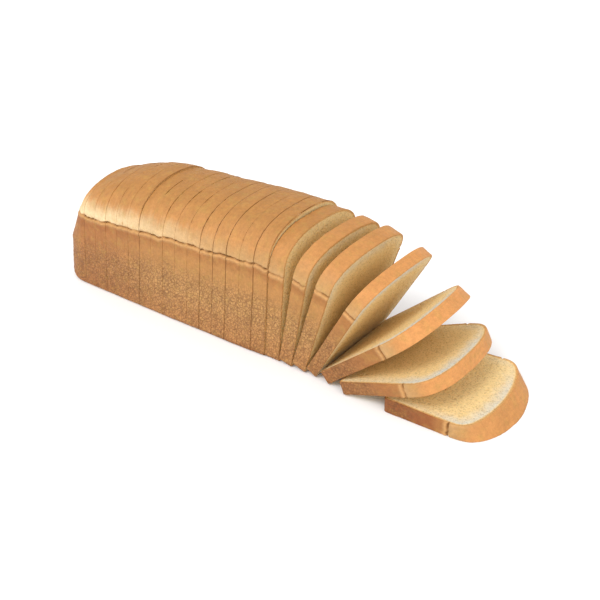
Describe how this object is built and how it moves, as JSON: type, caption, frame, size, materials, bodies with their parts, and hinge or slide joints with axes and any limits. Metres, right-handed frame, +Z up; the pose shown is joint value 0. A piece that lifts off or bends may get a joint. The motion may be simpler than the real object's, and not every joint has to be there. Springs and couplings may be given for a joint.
{
  "type": "sliced sandwich loaf",
  "caption": "White pan loaf with a domed top, cut into slices; most stand together by the heel and the rest have fallen forward in a fan.",
  "frame": {"origin": "middle of the footprint, on the table", "axes": "+X along the loaf from the heel to the fanned slices, +Y across it, +Z up"},
  "size_m": [0.4026, 0.0972, 0.1075],
  "materials": {
    "crust": "soft baked crust, golden brown, with cream crumb on the cut faces"
  },
  "bodies": {
    "root": {"heel": "crust", "standing_slice_15": "crust", "standing_slice_14": "crust", "standing_slice_13": "crust", "standing_slice_12": "crust", "standing_slice_11": "crust", "standing_slice_10": "crust", "standing_slice_09": "crust", "standing_slice_08": "crust", "standing_slice_07": "crust", "standing_slice_06": "crust", "standing_slice_05": "crust", "standing_slice_04": "crust", "standing_slice_03": "crust", "standing_slice_02": "crust", "standing_slice_01": "crust", "fan_slice_01": "crust", "fan_slice_02": "crust", "fan_slice_03": "crust", "fan_slice_04": "crust", "fan_slice_05": "crust", "fan_slice_06": "crust", "fan_slice_07": "crust"}
  },
  "joints": []
}
